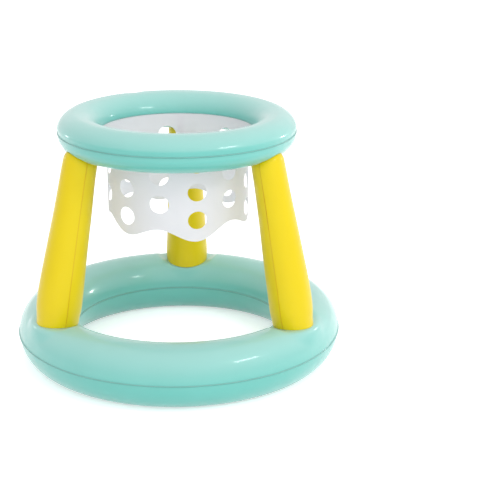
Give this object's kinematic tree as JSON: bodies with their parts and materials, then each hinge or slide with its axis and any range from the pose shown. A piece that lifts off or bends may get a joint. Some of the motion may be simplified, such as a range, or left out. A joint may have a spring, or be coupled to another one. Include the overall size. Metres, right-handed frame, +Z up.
{
  "type": "floating basketball hoop",
  "caption": "Inflatable floating basketball hoop: a wide base ring and a smaller rim ring of welded vinyl tube joined by tapered legs, with a punched vinyl net and push-in valves.",
  "frame": {"origin": "on the floor, on the common axis of the two rings, under the base ring", "axes": "+Z up through the hoop, +Y towards the rear leg, +X to the right as seen from the front"},
  "size_m": [0.6688, 0.67, 0.515],
  "materials": {
    "teal_vinyl": "glossy soft vinyl sheet, pale teal",
    "yellow_vinyl": "glossy soft vinyl sheet, yellow",
    "net_vinyl": "frosted white vinyl sheet",
    "valve_vinyl": "milky moulded soft vinyl"
  },
  "bodies": {
    "hoop": {"base_ring_upper_skin": "teal_vinyl", "base_ring_lower_skin": "teal_vinyl", "rim_ring_upper_skin": "teal_vinyl", "rim_ring_lower_skin": "teal_vinyl", "rear_leg_outer_panel": "yellow_vinyl", "rear_leg_inner_panel": "yellow_vinyl", "rear_leg_foot_disc": "yellow_vinyl", "rear_leg_head_disc": "yellow_vinyl", "left_leg_outer_panel": "yellow_vinyl", "left_leg_inner_panel": "yellow_vinyl", "left_leg_foot_disc": "yellow_vinyl", "left_leg_head_disc": "yellow_vinyl", "right_leg_outer_panel": "yellow_vinyl", "right_leg_inner_panel": "yellow_vinyl", "right_leg_foot_disc": "yellow_vinyl", "right_leg_head_disc": "yellow_vinyl", "net_sheet": "net_vinyl", "base_valve_flange": "valve_vinyl", "base_valve_membrane": "valve_vinyl", "rim_valve_flange": "valve_vinyl", "rim_valve_membrane": "valve_vinyl"},
    "base_stem": {"base_valve_stem": "valve_vinyl"},
    "base_cap": {"base_valve_cap": "valve_vinyl"},
    "base_flap": {"base_valve_flap": "valve_vinyl"},
    "rim_stem": {"rim_valve_stem": "valve_vinyl"},
    "rim_cap": {"rim_valve_cap": "valve_vinyl"},
    "rim_flap": {"rim_valve_flap": "valve_vinyl"}
  },
  "joints": [
    {"name": "base_stem_slide", "type": "slide", "parent": "hoop", "child": "base_stem", "axis": [0.4157, 0.72, 0.5557], "range_m": [0, 0.008], "deforming": ["base_valve_membrane"]},
    {"name": "base_cap_hinge", "type": "hinge", "parent": "base_stem", "child": "base_cap", "pos_m": [0.15379, 0.28338, 0.09828], "axis": [-0.2779, -0.4813, 0.8314], "range_deg": [0, 130]},
    {"name": "base_flap_hinge", "type": "hinge", "parent": "base_stem", "child": "base_flap", "pos_m": [0.15149, 0.27079, 0.09022], "axis": [0.2779, 0.4813, -0.8314], "range_deg": [0, 40], "stiffness_Nm_per_rad": 0.0001},
    {"name": "rim_stem_slide", "type": "slide", "parent": "hoop", "child": "rim_stem", "axis": [-0.3953, 0.6847, 0.6122], "range_m": [0, 0.008], "deforming": ["rim_valve_membrane"]},
    {"name": "rim_cap_hinge", "type": "hinge", "parent": "rim_stem", "child": "rim_cap", "pos_m": [-0.12288, 0.19584, 0.49955], "axis": [0.3061, -0.5302, 0.7907], "range_deg": [0, 130]},
    {"name": "rim_flap_hinge", "type": "hinge", "parent": "rim_stem", "child": "rim_flap", "pos_m": [-0.11343, 0.18806, 0.49067], "axis": [-0.3061, 0.5302, -0.7907], "range_deg": [0, 40], "stiffness_Nm_per_rad": 0.0001}
  ]
}
